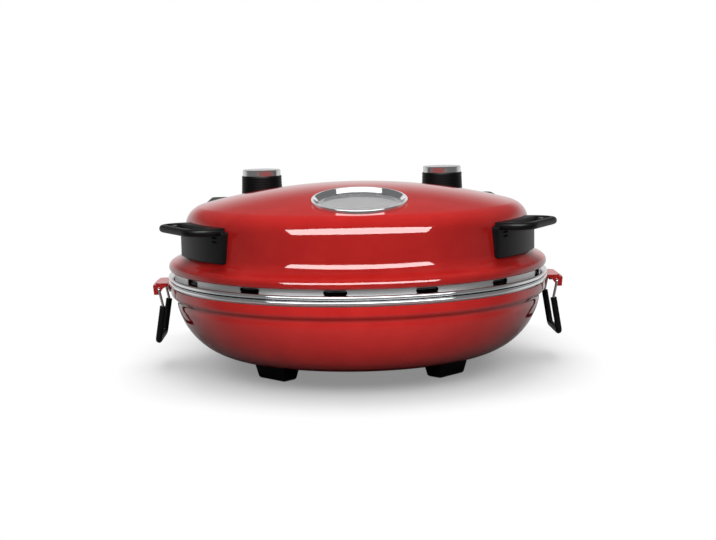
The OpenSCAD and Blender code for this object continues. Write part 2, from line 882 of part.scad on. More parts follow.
// The inner face of the lid's leaning wall, with +Z pointing out through it.
module at_lid_wall(turn, z) {
    inside_r = wall_foot_r - (z - wall_foot_z)*wall_lean - sheet_t*(1 + wall_lean);
    outward(turn) translate([inside_r - head_seat, 0, z])
    rotate([0, 90 - atan(wall_lean), 0]) children();
}

module hinge_arm() {
    half = barrel_half_l;
    color(steel)
    difference() {
        union() {
            translate([-half, hinge_y, hinge_z]) rotate([0, 90, 0])
                cylinder(r = barrel_r, h = 2*half, $fn = 48);
            translate([-half + 2, 0, 0]) rotate([90, 0, 90]) linear_extrude(2*half - 4)
            polygon([[hinge_y - 1, hinge_z + barrel_r - 1], [hinge_y - 1, hinge_z - barrel_r + 1],
                     [wall_foot_r + arm_out, hinge_z - barrel_r - 8],
                     [wall_foot_r + arm_out, wall_foot_z + 4], [wall_top_r - 10, wall_foot_z + 4],
                     [wall_top_r - 10, shoulder_z], [wall_foot_r + 1, shoulder_z + 4]]);
        }
        filled(lid_outline(seat_gap, seat_gap), skirt_edge_z);
        translate([-far/2, hinge_y, hinge_z]) rotate([0, 90, 0])
            cylinder(r = pin_r + run_gap, h = far, $fn = 48);
        at_arm_screws() screw_hole(arm_screw_l);
    }
}

module hinge_arm_screws() {
    color(steel)
    at_arm_screws() screw(arm_screw_l);
}

/* ---- lid ---- */

// Places of the two screws of each handle, inside the lid's wall.
handle_screw_z = rim_z + (handle_z + handle_top_z)/2;
handle_screw_turn = 8;
handle_screw_l = 5;

module at_handle_screws() {
    for (side = [-1, 1]) for (turn = [-handle_screw_turn, handle_screw_turn])
        at_lid_wall(side*(handle_turn + turn), handle_screw_z) children();
}

// Moves children into the window's own frame, with +Z along its axis.
module at_window() {
    translate([0, -window_y, window_z]) rotate([window_tilt, 0, 0]) children();
}

module lid_shell() {
    color(red)
    difference() {
        shell(lid_outline(0, 0), [for (p = lid_outline(-sheet_t, -sheet_t))
            [max(p.x, 0), max(p.y, skirt_edge_z)]]);
        at_window() translate([0, 0, -far/4]) cylinder(r = window_hole_r, h = far/2, $fn = 96);
        at_handle_screws() screw_hole(sheet_t + 1);
        at_arm_screws() screw_hole(sheet_t + 1);
    }
}

// The slotted steel band under the skirt.
module lid_band() {
    slot_z = skirt_edge_z - slot_h/2 - 0.6;
    color(steel)
    difference() {
        ring(lid_band_r - lid_band_t, lid_band_r, lid_band_z, lid_band_top_z);
        for (i = [0:slot_count-1])
            outward(slot_turn + i*360/slot_count) translate([lid_band_r, 0, slot_z])
            rotate([0, 90, 0]) translate([0, 0, -6]) linear_extrude(12)
            round_rect(-slot_h/2, slot_h/2, slot_l/2, slot_h/2 - 0.1);
    }
}

module lid_rim_ring() {
    color(chrome)
    difference() {
        bead(lid_bead_z);
        translate([0, 0, lid_band_z])
        cylinder(r = lid_band_r + 0.2, h = bead_h, $fn = 120);
    }
}

module lid_liner() {
    color(steel)
    difference() {
        union() {
            shell(liner_outline(0, 0), [for (p = liner_outline(-pan_t, -pan_t))
                [max(p.x, 0), p.y]]);
            ring(bead_inner_r + 0.5, liner_r, liner_z, liner_z + pan_t);
        }
        at_window() translate([0, 0, -far/4])
            cylinder(r = collar_r + fit_gap, h = far/2, $fn = 96);
        lead_holes(upper_heater_r, upper_heater_z);
    }
}

module upper_heater() {
    color(steel) heater(upper_heater_r, upper_heater_z, upper_lead_end_y);
}

module upper_heater_clips() {
    color(steel)
    for (turn = [60, 180, 300]) outward(turn)
        difference() {
            translate([upper_heater_r - clip_w/2, -clip_t/2, upper_heater_z])
            cube([clip_w, clip_t, far/8]);
            rotate([0, 0, -5]) rotate_extrude(angle = 10, $fn = 96)
            translate([upper_heater_r, upper_heater_z])
            circle(r = heater_tube_r + 0.1, $fn = 24);
            rotate_extrude($fn = 120)
            polygon(concat([for (p = liner_outline(-pan_t, -pan_t))
                [max(p.x, 0), p.y - 0.15]], [[0, far], [liner_r - pan_t, far]]));
        }
}

/* ---- window ---- */

collar_r = window_hole_r + 2.5;
collar_t = 1;
collar_l = 22.6;
glass_z = -3.2;

// Drop of the dome below the window's own plane, at a radius about the window's axis.
function dome_drop(r) = -r*r/(2*dome_r);

module window_bezel() {
    foot = dome_drop(bezel_r) + seat_gap;
    sleeve_r0 = window_hole_r - 1.4;
    sleeve_z = glass_z - glass_t - 4.2;
    color(chrome)
    at_window()
    rotate_extrude($fn = 96)
    polygon([[window_r, bezel_h - 0.9], [window_r + 0.9, bezel_h], [bezel_r - 1.6, bezel_h],
             [bezel_r, bezel_h - 1.6], [bezel_r, foot],
             [window_hole_r - 0.3, dome_drop(window_hole_r) + seat_gap],
             [window_hole_r - 0.3, sleeve_z],
             [sleeve_r0, sleeve_z], [sleeve_r0, glass_z + 0.4], [window_r, glass_z + 0.4]]);
}

module window_glass() {
    color([0.5, 0.5, 0.5, 0.4])
    at_window() translate([0, 0, glass_z - glass_t])
    cylinder(r = window_hole_r - 1.7, h = glass_t, $fn = 96);
}

module window_gasket() {
    color("dimgray")
    at_window() translate([0, 0, glass_z - glass_t - 1.5])
    difference() {
        cylinder(r = window_hole_r - 1.7, h = 1.4, $fn = 96);
        translate([0, 0, -joint_overlap]) cylinder(r = window_r - 2, h = 4, $fn = 96);
    }
}

// The ring that holds the gasket and the glass up in the bezel.
module window_retainer() {
    color(steel)
    at_window() translate([0, 0, glass_z - glass_t - 3])
    difference() {
        cylinder(r = window_hole_r - 1.5, h = 1.4, $fn = 96);
        translate([0, 0, -joint_overlap]) cylinder(r = window_r - 2, h = 4, $fn = 96);
    }
}

// The tube that closes the space between the shell and the liner.
module window_collar() {
    color(steel)
    at_window() translate([0, 0, -sheet_t - 2.4 - collar_l])
    difference() {
        cylinder(r = collar_r, h = collar_l, $fn = 96);
        translate([0, 0, -joint_overlap])
        cylinder(r = collar_r - collar_t, h = collar_l + 2*joint_overlap, $fn = 96);
    }
}

/* ---- handles ---- */

handle_face_r = wall_foot_r + handle_face_out;
loop_reach = rim_r + loop_out;

module handle() {
    top = rim_z + handle_top_z;
    outward(handle_turn)
    difference() {
        union() {
            sector(wall_top_r - 10, handle_face_r, rim_z + handle_z, top - loop_t/2, handle_span);
            translate([0, 0, top - loop_t]) linear_extrude(loop_t)
            round_rect(wall_top_r - 10, loop_reach, loop_half_w, 20);
            translate([wall_top_r - 10, -loop_half_w, top - loop_t])
            cube([handle_face_r - wall_top_r + 0.3, 2*loop_half_w, loop_t]);
        }
        rotate([0, 0, 90 - handle_turn])
        filled(lid_outline(seat_gap, seat_gap), skirt_edge_z);
        translate([0, 0, top - 2*loop_t]) linear_extrude(3*loop_t)
        round_rect(handle_face_r + 1.5, loop_reach - loop_bar, loop_half_w - loop_bar, 6);
        for (turn = [-handle_screw_turn, handle_screw_turn])
            rotate([0, 0, 90 - handle_turn])
            at_lid_wall(handle_turn + turn, handle_screw_z) screw_hole(handle_screw_l - 0.5);
        handle_notch(top);
    }
}

// A small recess near the plate's front end, crossed by a rib.
notch_w = 7;
notch_d = 1.8;

module handle_notch(top) {
    for (z = [top - loop_t - 3, top - loop_t - 6.6])
        rotate([0, 0, -handle_span/2 + 3.6])
        translate([handle_face_r - notch_d, -notch_w/2, z]) cube([6, notch_w, 1.8]);
}

module handle_right() {
    color(black) handle();
}

module handle_left() {
    color(black) mirror([1, 0, 0]) handle();
}

module handle_screws() {
    color(steel)
    at_handle_screws() screw(handle_screw_l);
}

/* ---- knobs ---- */

knob_top_r = knob_r - 0.8;
cap_r = knob_top_r - 0.9;
hub_r = shaft_r + 2.6;
shaft_top_z = knob_z + knob_h - 2.4;

module knob() {
    difference() {
        union() {
            difference() {
                translate([0, 0, knob_z]) cylinder(r1 = knob_r, r2 = knob_top_r, h = knob_h);
                translate([0, 0, knob_z - joint_overlap])
                cylinder(r = knob_top_r - 2, h = knob_h - 2, $fn = 96);
            }
            translate([0, 0, knob_z + 4]) cylinder(r = hub_r, h = knob_h - 4.5, $fn = 48);
        }
        cylinder(r = shaft_r + run_gap/2, h = shaft_top_z + 0.2, $fn = 48);
    }
}

module knob_cap() {
    translate([0, 0, knob_z + knob_h])
    rotate_extrude($fn = 96)
    polygon([[0, 0], [cap_r, 0], [cap_r, cap_h - 1], [cap_r - 0.3, cap_h - 0.3],
             [cap_r - 1, cap_h], [0, cap_h]]);
}

module control_shaft() {
    translate([0, 0, control_top_z - control_h + 4.2])
    cylinder(r = shaft_r, h = shaft_top_z - control_top_z + control_h - 4.2, $fn = 48);
}

module thermostat_shaft() {
    color(steel) translate([-knob_x, knob_y, 0]) control_shaft();
}

module thermostat_knob() {
    color(black) translate([-knob_x, knob_y, 0]) knob();
}

module thermostat_knob_cap() {
    color(chrome) translate([-knob_x, knob_y, 0]) knob_cap();
}

module timer_shaft() {
    color(steel) translate([knob_x, knob_y, 0]) control_shaft();
}

module timer_knob() {
    color(black) translate([knob_x, knob_y, 0]) knob();
}

module timer_knob_cap() {
    color(chrome) translate([knob_x, knob_y, 0]) knob_cap();
}

base_bowl();
base_rim_ring();
lower_pan();
lower_heater();
lower_heater_clips();
stone_supports();
baking_stone();
foot(foot_turns[0]);  // foot_front_left
foot(foot_turns[1]);  // foot_front_right
foot(foot_turns[2]);  // foot_rear_left
foot(foot_turns[3]);  // foot_rear_right
foot_screws();
latch_bracket_left();
latch_bracket_right();
bracket_rivets();
control_housing();
housing_cover();
cover_screws();
housing_screws();
thermostat_body();
timer_body();
control_screws();
terminal_block();
wiring();
cord_gland();
hinge_bracket();
hinge_pin();
hinge_screws();
lid_shell();
lid_band();
lid_rim_ring();
lid_liner();
upper_heater();
upper_heater_clips();
window_bezel();
window_glass();
window_gasket();
window_retainer();
window_collar();
handle_left();
handle_right();
handle_screws();
hinge_arm();
hinge_arm_screws();
latch_bail_left();
latch_bail_right();
bail_grip_left();
bail_grip_right();
thermostat_shaft();
thermostat_knob();
thermostat_knob_cap();
timer_shaft();
timer_knob();
timer_knob_cap();
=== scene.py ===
import json
import math

import bmesh
import bpy
import numpy as np
from mathutils import Matrix, Vector


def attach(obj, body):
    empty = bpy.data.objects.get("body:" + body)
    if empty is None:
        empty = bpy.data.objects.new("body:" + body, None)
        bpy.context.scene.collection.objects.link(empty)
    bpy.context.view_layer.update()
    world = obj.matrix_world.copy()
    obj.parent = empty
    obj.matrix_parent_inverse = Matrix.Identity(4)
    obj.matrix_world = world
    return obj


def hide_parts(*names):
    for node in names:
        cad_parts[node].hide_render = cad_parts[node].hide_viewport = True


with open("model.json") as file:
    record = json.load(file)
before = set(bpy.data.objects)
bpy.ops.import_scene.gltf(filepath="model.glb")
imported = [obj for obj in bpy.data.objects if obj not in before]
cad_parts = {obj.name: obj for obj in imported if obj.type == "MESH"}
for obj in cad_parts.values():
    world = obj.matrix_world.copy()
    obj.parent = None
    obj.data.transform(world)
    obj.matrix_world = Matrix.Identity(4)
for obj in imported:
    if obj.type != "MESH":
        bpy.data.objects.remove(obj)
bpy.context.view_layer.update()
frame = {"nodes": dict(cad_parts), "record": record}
scene = bpy.context.scene
NODES = frame["nodes"]

# Sizes of the appliance in millimetres, as the CAD source names them.
RIM_R, RIM_Z, BEAD_H, BEAD_GAP, SHEET = 182.0, 86.0, 4.0, 0.6, 1.0
BAND_H, BOWL_Z, BOWL_FLOOR_R = 6.7, 14.5, 122.0
DOME_R, DOME_TOP, DOME_EDGE_R = 600.0, 174.2, 150.0
SKIRT_R, SKIRT_EDGE_R, SKIRT_Z = 181.0, 177.4, 95.0
WALL_FOOT_R, WALL_TOP_R, WALL_FOOT_Z, SHOULDER_Z = 167.0, 163.8, 110.0, 139.0
COVE_Z, SHOULDER_BEND, DOME_BEND = 116.0, 10.3, 4.0
WINDOW_Y, WINDOW_R, BEZEL_R, BEZEL_H = 106.0, 38.0, 42.7, 1.8
WINDOW_HOLE_R, GLASS_Z, GLASS_T = 41.0, -3.2, 4.0
BAND_R, BAND_T, BAND_Z, BAND_TOP = 176.0, 1.0, 88.0, 100.0
HANDLE_TURN, HANDLE_FACE_R, HANDLE_SPAN, HANDLE_TOP, HANDLE_FOOT = 60.0, 171.0, 15.0, 57.0, 25.5
LATCH_R, LATCH_Z = 190.0, 78.0
WIRE_R, GRIP_R, BAIL_HALF_W, BAIL_DROP, BAIL_KNEE = 1.25, 3.0, 25.0, 49.7, 16.7
FOOT_HALF_W, FOOT_HALF_D, FOOT_FLARE, FOOT_R = 17.0, 8.0, 3.0, 117.4
SLOT_COUNT, SLOT_TURN, SLOT_HALF_L, SLOT_HALF_H, SLOT_DROP = 14, -7.7, 10.25, 2.2, 2.8
KNOB_X, KNOB_Y, KNOB_Z, KNOB_R, KNOB_H, CAP_H = 99.0, 178.0, 148.1, 22.4, 24.2, 6.6
MM = 0.001


# ---------------------------------------------------------------- shapes

def dome(r):
    return DOME_TOP - DOME_R + math.sqrt(DOME_R ** 2 - r * r)


def bend(a, b, c, d, steps):
    """A smooth run of outline points from a to d, drawn towards b and c."""
    run = []
    for i in range(steps + 1):
        t = i / steps
        s = 1 - t
        run.append(tuple(s**3 * a[k] + 3*s*s*t * b[k] + 3*s*t*t * c[k] + t**3 * d[k] for k in (0, 1)))
    return run


def keep_distinct(points):
    out = []
    for p in points:
        if not out or math.dist(out[-1], p) > 1e-4:
            out.append(p)
    return out


def inset(points, distance):
    """The outline moved to its left-hand side by a distance."""
    moved = []
    for i, p in enumerate(points):
        a, b = points[max(i - 1, 0)], points[min(i + 1, len(points) - 1)]
        dx, dz = b[0] - a[0], b[1] - a[1]
        length = math.hypot(dx, dz)
        moved.append((max(p[0] - dz / length * distance, 0.0), p[1] + dx / length * distance))
    return moved


def new_object(name, vertices, faces):
    mesh = bpy.data.meshes.new(name)
    mesh.from_pydata([(x * MM, y * MM, z * MM) for x, y, z in vertices], [], faces)
    mesh.validate()
    obj = bpy.data.objects.new(name, mesh)
    scene.collection.objects.link(obj)
    return obj


def shade(obj, angle=35):
    """Smooth shading with crisp corners where faces meet at more than an angle."""
    mesh = obj.data
    mesh.shade_smooth()
    mesh.set_sharp_from_angle(angle=math.radians(angle))
    return obj


def turned(name, outline, steps=256, closed=True, angle=35):
    """A turned piece: an outline of (radius, height) points swept round the Z axis."""
    vertices, rows = [], []
    for r, z in outline:
        if r < 1e-6:
            rows.append([len(vertices)] * steps)
            vertices.append((0, 0, z))
        else:
            rows.append(list(range(len(vertices), len(vertices) + steps)))
            for i in range(steps):
                a = 2 * math.pi * i / steps
                vertices.append((r * math.cos(a), r * math.sin(a), z))
    faces = []
    pairs = list(zip(rows, rows[1:])) + ([(rows[-1], rows[0])] if closed else [])
    for low, high in pairs:
        if low[0] == low[1] and high[0] == high[1]:
            continue
        for i in range(steps):
            j = (i + 1) % steps
            ring = [low[i], low[j], high[j], high[i]]
            faces.append([v for k, v in enumerate(ring) if v not in ring[:k]])
    obj = new_object(name, vertices, faces)
    tidy_faces(obj)
    return shade(obj, angle)


def tidy_faces(obj):
    work = bmesh.new()
    work.from_mesh(obj.data)
    bmesh.ops.recalc_face_normals(work, faces=work.faces)
    work.to_mesh(obj.data)
    work.free()


def place(obj, matrix):
    obj.data.transform(matrix)
    obj.data.update()
    return obj


def moved(x, y, z):
    return Matrix.Translation((x * MM, y * MM, z * MM))


WINDOW_TILT = math.asin(WINDOW_Y / DOME_R)
WINDOW_FRAME = moved(0, -WINDOW_Y, dome(WINDOW_Y)) @ Matrix.Rotation(WINDOW_TILT, 4, "X")


def cut(obj, *cutters):
    """Takes the cutters out of a piece for good."""
    for cutter in cutters:
        step = obj.modifiers.new("cut", "BOOLEAN")
        step.object, step.operation, step.solver = cutter, "DIFFERENCE", "EXACT"
        bpy.context.view_layer.update()
        held = bpy.context.evaluated_depsgraph_get()
        mesh = bpy.data.meshes.new_from_object(obj.evaluated_get(held))
        obj.modifiers.clear()
        obj.data = mesh
        bpy.data.objects.remove(cutter)
    return obj


def drum(radius, z0, z1, steps=128):
    return turned("drum", [(0, z0), (radius, z0), (radius, z1), (0, z1)], steps, closed=False)


def true_normals(obj, outline):
    """Gives a cut turned sheet the shading of its outline, so no cut shows beyond its edge."""
    dense, slopes = [], []
    for (r0, z0), (r1, z1) in zip(outline, outline[1:]):
        length = math.hypot(r1 - r0, z1 - z0)
        slopes.append(((z1 - z0) / length, -(r1 - r0) / length))
    points = np.array(outline)
    at_point = np.array([slopes[0]] + [
        (np.array(a) + np.array(b)) for a, b in zip(slopes, slopes[1:])] + [slopes[-1]])
    at_point /= np.linalg.norm(at_point, axis=1)[:, None]
    share = np.linspace(0, 1, 9)[:-1]
    for i in range(len(points) - 1):
        for t in share:
            n = at_point[i] * (1 - t) + at_point[i + 1] * t
            dense.append([*(points[i] * (1 - t) + points[i + 1] * t), *(n / np.linalg.norm(n))])
    dense = np.array(dense)
    mesh = obj.data
    count = len(mesh.loops)
    corner = np.zeros(count, int)
    mesh.loops.foreach_get("vertex_index", corner)
    co = np.zeros(len(mesh.vertices) * 3)
    mesh.vertices.foreach_get("co", co)
    co = co.reshape(-1, 3) / MM
    radius = np.hypot(co[:, 0], co[:, 1])
    best = np.zeros(len(co), int)
    for i in range(0, len(co), 4000):
        part = slice(i, i + 4000)
        away = (radius[part, None] - dense[None, :, 0]) ** 2 + (co[part, 2, None] - dense[None, :, 1]) ** 2
        best[part] = away.argmin(1)
    across = np.where(radius > 1e-6, radius, 1)
    nr, nz = dense[best, 2], dense[best, 3]
    normal = np.stack([nr * co[:, 0] / across, nr * co[:, 1] / across, nz], 1)
    face = np.zeros(count * 3)
    split = []
    for poly in mesh.polygons:
        out = np.array(poly.normal)
        for k in poly.loop_indices:
            n = normal[corner[k]]
            d = float(out @ n)
            split.append(tuple(n if d > 0.6 else -n if d < -0.6 else out))
    mesh.shade_smooth()
    mesh.normals_split_custom_set(split)
    return obj


def swept(name, points, radius, sides=20, closed=False):
    """A round bar that follows a list of points."""
    pts = [Vector(p) for p in points]
    rings, vertices, faces = [], [], []
    frame_up = None
    for i, p in enumerate(pts):
        ahead = (pts[min(i + 1, len(pts) - 1)] - pts[max(i - 1, 0)]).normalized()
        if frame_up is None:
            frame_up = ahead.orthogonal().normalized()
        frame_up = (frame_up - ahead * frame_up.dot(ahead)).normalized()
        side = ahead.cross(frame_up)
        r = radius[i] if isinstance(radius, (list, tuple)) else radius
        rings.append(len(vertices))
        for k in range(sides):
            a = 2 * math.pi * k / sides
            vertices.append(tuple(p + (frame_up * math.cos(a) + side * math.sin(a)) * r))
    for a, b in zip(rings, rings[1:]):
        for k in range(sides):
            j = (k + 1) % sides
            faces.append([a + k, a + j, b + j, b + k])
    faces.append([rings[0] + k for k in range(sides)][::-1])
    faces.append([rings[-1] + k for k in range(sides)])
    obj = new_object(name, vertices, faces)
    tidy_faces(obj)
    return shade(obj, 50)


def rounded_route(points, radius, steps=8):
    """A route through points whose corners are bent to a radius."""
    pts = [Vector(p) for p in points]
    out = [pts[0]]
    for a, b, c in zip(pts, pts[1:], pts[2:]):
        d0, d1 = (a - b), (c - b)
        reach = min(radius, d0.length * 0.45, d1.length * 0.45)
        p0, p1 = b + d0.normalized() * reach, b + d1.normalized() * reach
        for i in range(steps + 1):
            t = i / steps
            out.append(p0 * (1 - t) ** 2 + b * 2 * t * (1 - t) + p1 * t * t)
    out.append(pts[-1])
    return out


def rounded_outline(x0, x1, half_y, r, steps=14, side=10):
    """Points round a rectangle with round corners, the same number for any size."""
    out = []
    corners = [(x1 - r, half_y - r, 0), (x0 + r, half_y - r, 90),
               (x0 + r, r - half_y, 180), (x1 - r, r - half_y, 270)]
    for k, (cx, cy, start) in enumerate(corners):
        arc = [(cx + r * math.cos(math.radians(start + 90 * i / steps)),
                cy + r * math.sin(math.radians(start + 90 * i / steps))) for i in range(steps + 1)]
        nx, ny, nstart = corners[(k + 1) % 4]
        end = (nx + r * math.cos(math.radians(nstart)), ny + r * math.sin(math.radians(nstart)))
        out += arc
        last = arc[-1]
        out += [(last[0] + (end[0] - last[0]) * i / side, last[1] + (end[1] - last[1]) * i / side)
                for i in range(1, side)]
    return out


def rolled_edge(depth, edge, steps):
    """How far in and at what height each ring of a rounded edge lies, from bottom to top."""
    run = []
    for i in range(steps + 1):
        a = math.radians(-90 + 90 * i / steps)
        run.append((edge * (1 - math.cos(a)), edge + edge * math.sin(a)))
    for i in range(steps + 1):
        a = math.radians(90 * i / steps)
        run.append((edge * (1 - math.cos(a)), depth - edge + edge * math.sin(a)))
    return run


def rounded_slab(name, outer, thickness, edge, z0, hole=None, steps=6):
    """A flat slab with rolled edges. outer and hole are (x0, x1, half width, corner radius)."""
    vertices, faces = [], []
    rings = []
    for into, height in rolled_edge(thickness, edge, steps):
        x0, x1, half, r = outer
        loop = rounded_outline(x0 + into, x1 - into, half - into, max(r - into, 0.2))
        rings.append(list(range(len(vertices), len(vertices) + len(loop))))
        vertices += [(x, y, z0 + height) for x, y in loop]
    count = len(rings[0])
    if hole:
        inner = []
        for into, height in rolled_edge(thickness, edge, steps):
            x0, x1, half, r = hole
            loop = rounded_outline(x0 - into, x1 + into, half + into, r + into)
            inner.append(list(range(len(vertices), len(vertices) + len(loop))))
            vertices += [(x, y, z0 + height) for x, y in loop]
        rings = rings + inner[::-1] + [rings[0]]
    for a, b in zip(rings, rings[1:]):
        for k in range(count):
            j = (k + 1) % count
            faces.append([a[k], a[j], b[j], b[k]])
    if not hole:
        faces.append(rings[0][::-1])
        faces.append(rings[-1])
    obj = new_object(name, vertices, faces)
    tidy_faces(obj)
    return obj


def joined(name, *objs):
    """One piece from several meshes."""
    work = bmesh.new()
    for obj in objs:
        work.from_mesh(obj.data)
    mesh = bpy.data.meshes.new(name)
    work.to_mesh(mesh)
    work.free()
    for obj in objs:
        bpy.data.objects.remove(obj)
    out = bpy.data.objects.new(name, mesh)
    scene.collection.objects.link(out)
    return out


# ---------------------------------------------------------------- materials

def wire(tree, a, out, b, into):
    tree.links.new(a.outputs[out], b.inputs[into])


def grain_group():
    """A fine even grain: a mask and a bump height for any surface, in object space."""
    tree = bpy.data.node_groups.new("fine_grain", "ShaderNodeTree")
    tree.interface.new_socket("Scale", in_out="INPUT", socket_type="NodeSocketFloat")
    tree.interface.new_socket("Stretch", in_out="INPUT", socket_type="NodeSocketVector")
    tree.interface.new_socket("Mask", in_out="OUTPUT", socket_type="NodeSocketFloat")
    tree.interface.new_socket("Height", in_out="OUTPUT", socket_type="NodeSocketFloat")
    start, end = tree.nodes.new("NodeGroupInput"), tree.nodes.new("NodeGroupOutput")
    coords = tree.nodes.new("ShaderNodeTexCoord")
    stretch = tree.nodes.new("ShaderNodeVectorMath")
    stretch.operation = "MULTIPLY"
    wire(tree, coords, "Object", stretch, 0)
    wire(tree, start, "Stretch", stretch, 1)
    broad, fine = tree.nodes.new("ShaderNodeTexNoise"), tree.nodes.new("ShaderNodeTexNoise")
    broad.inputs["Detail"].default_value = 3
    fine.inputs["Detail"].default_value = 5
    wider = tree.nodes.new("ShaderNodeMath")
    wider.operation = "MULTIPLY"
    wider.inputs[1].default_value = 0.05
    wire(tree, start, "Scale", wider, 0)
    wire(tree, wider, 0, broad, "Scale")
    wire(tree, start, "Scale", fine, "Scale")
    wire(tree, stretch, 0, broad, "Vector")
    wire(tree, stretch, 0, fine, "Vector")
    wire(tree, broad, "Fac", end, "Mask")
    wire(tree, fine, "Fac", end, "Height")
    return tree


GRAIN = grain_group()


def blank(name):
    material = bpy.data.materials.new(name)
    material.use_nodes = True
    tree = material.node_tree
    return material, tree, tree.nodes["Principled BSDF"]


def quiet_bounce(tree, ramp, shader, level):
    """The light that a coloured surface throws on the floor is plain grey."""
    path, mix = tree.nodes.new("ShaderNodeLightPath"), tree.nodes.new("ShaderNodeMix")
    mix.data_type = "RGBA"
    mix.inputs["B"].default_value = (level, level, level, 1)
    wire(tree, path, "Is Diffuse Ray", mix, "Factor")
    tree.links.new(ramp.outputs["Color"], mix.inputs["A"])
    tree.links.new(mix.outputs["Result"], shader.inputs["Base Color"])


def finish_of(name, low, high, scale, stretch=(1, 1, 1), rough=(0.4, 0.5), bump=0.05, depth=0.0002,
              metallic=0.0, coat=0.0, coat_rough=0.03, under=0.5, bounce=None):
    """A surface whose colour runs between two shades and whose gloss and relief follow its grain."""
    material, tree, shader = blank(name)
    grain = tree.nodes.new("ShaderNodeGroup")
    grain.node_tree = GRAIN
    grain.inputs["Scale"].default_value = scale
    grain.inputs["Stretch"].default_value = stretch
    ramp = tree.nodes.new("ShaderNodeValToRGB")
    ramp.color_ramp.elements[0].position, ramp.color_ramp.elements[1].position = 0.32, 0.68
    ramp.color_ramp.elements[0].color = (*low, 1)
    ramp.color_ramp.elements[1].color = (*high, 1)
    wire(tree, grain, "Mask", ramp, "Fac")
    if bounce is None:
        wire(tree, ramp, "Color", shader, "Base Color")
    else:
        quiet_bounce(tree, ramp, shader, bounce)
    gloss = tree.nodes.new("ShaderNodeMapRange")
    gloss.inputs["To Min"].default_value, gloss.inputs["To Max"].default_value = rough
    wire(tree, grain, "Height", gloss, "Value")
    wire(tree, gloss, "Result", shader, "Roughness")
    relief = tree.nodes.new("ShaderNodeBump")
    relief.inputs["Strength"].default_value = bump
    relief.inputs["Distance"].default_value = depth
    wire(tree, grain, "Height", relief, "Height")
    wire(tree, relief, "Normal", shader, "Normal")
    shader.inputs["Metallic"].default_value = metallic
    shader.inputs["Specular IOR Level"].default_value = under
    shader.inputs["Coat Weight"].default_value = coat
    shader.inputs["Coat Roughness"].default_value = coat_rough
    return material


def liner_with_painted_shade():
    """The lid's liner: bright inside, and painted near black as shade where it stands close behind the slots."""
    material = finish_of("lid_liner_painted_shade", (0.55, 0.55, 0.56), (0.66, 0.66, 0.67), 500,
                         rough=(0.25, 0.38), bump=0.05, depth=0.0001, metallic=1.0)
    tree = material.node_tree
    shader = tree.nodes["Principled BSDF"]
    coords, level = tree.nodes.new("ShaderNodeTexCoord"), tree.nodes.new("ShaderNodeVectorMath")
    level.operation = "MULTIPLY"
    level.inputs[1].default_value = (1, 1, 0)
    wire(tree, coords, "Object", level, 0)
    away = tree.nodes.new("ShaderNodeVectorMath")
    away.operation = "LENGTH"
    wire(tree, level, 0, away, 0)
    # Painted shade: past 172.5 to 173.5 mm from the axis the liner's colour fades to near black, standing for the
    # deep shade behind the slots.
    edge = tree.nodes.new("ShaderNodeMapRange")
    edge.inputs["From Min"].default_value, edge.inputs["From Max"].default_value = 0.1725, 0.1735
    wire(tree, away, "Value", edge, "Value")
    mix = tree.nodes.new("ShaderNodeMix")
    mix.data_type = "RGBA"
    mix.inputs["B"].default_value = (0.004, 0.004, 0.004, 1)
    wire(tree, edge, "Result", mix, "Factor")
    sheet = shader.inputs["Base Color"].links[0].from_socket
    tree.links.new(sheet, mix.inputs["A"])
    tree.links.new(mix.outputs["Result"], shader.inputs["Base Color"])
    return material


def window_glass_finish():
    material, tree, shader = blank("window_glass")
    grain = tree.nodes.new("ShaderNodeGroup")
    grain.node_tree = GRAIN
    grain.inputs["Scale"].default_value = 60
    grain.inputs["Stretch"].default_value = (1, 1, 1)
    ramp = tree.nodes.new("ShaderNodeValToRGB")
    ramp.color_ramp.elements[0].color = (0.50, 0.50, 0.51, 1)
    ramp.color_ramp.elements[1].color = (0.60, 0.60, 0.61, 1)
    wire(tree, grain, "Mask", ramp, "Fac")
    wire(tree, ramp, "Color", shader, "Base Color")
    shader.inputs["Transmission Weight"].default_value = 0.6
    shader.inputs["Roughness"].default_value = 0.03
    shader.inputs["IOR"].default_value = 1.5
    return material


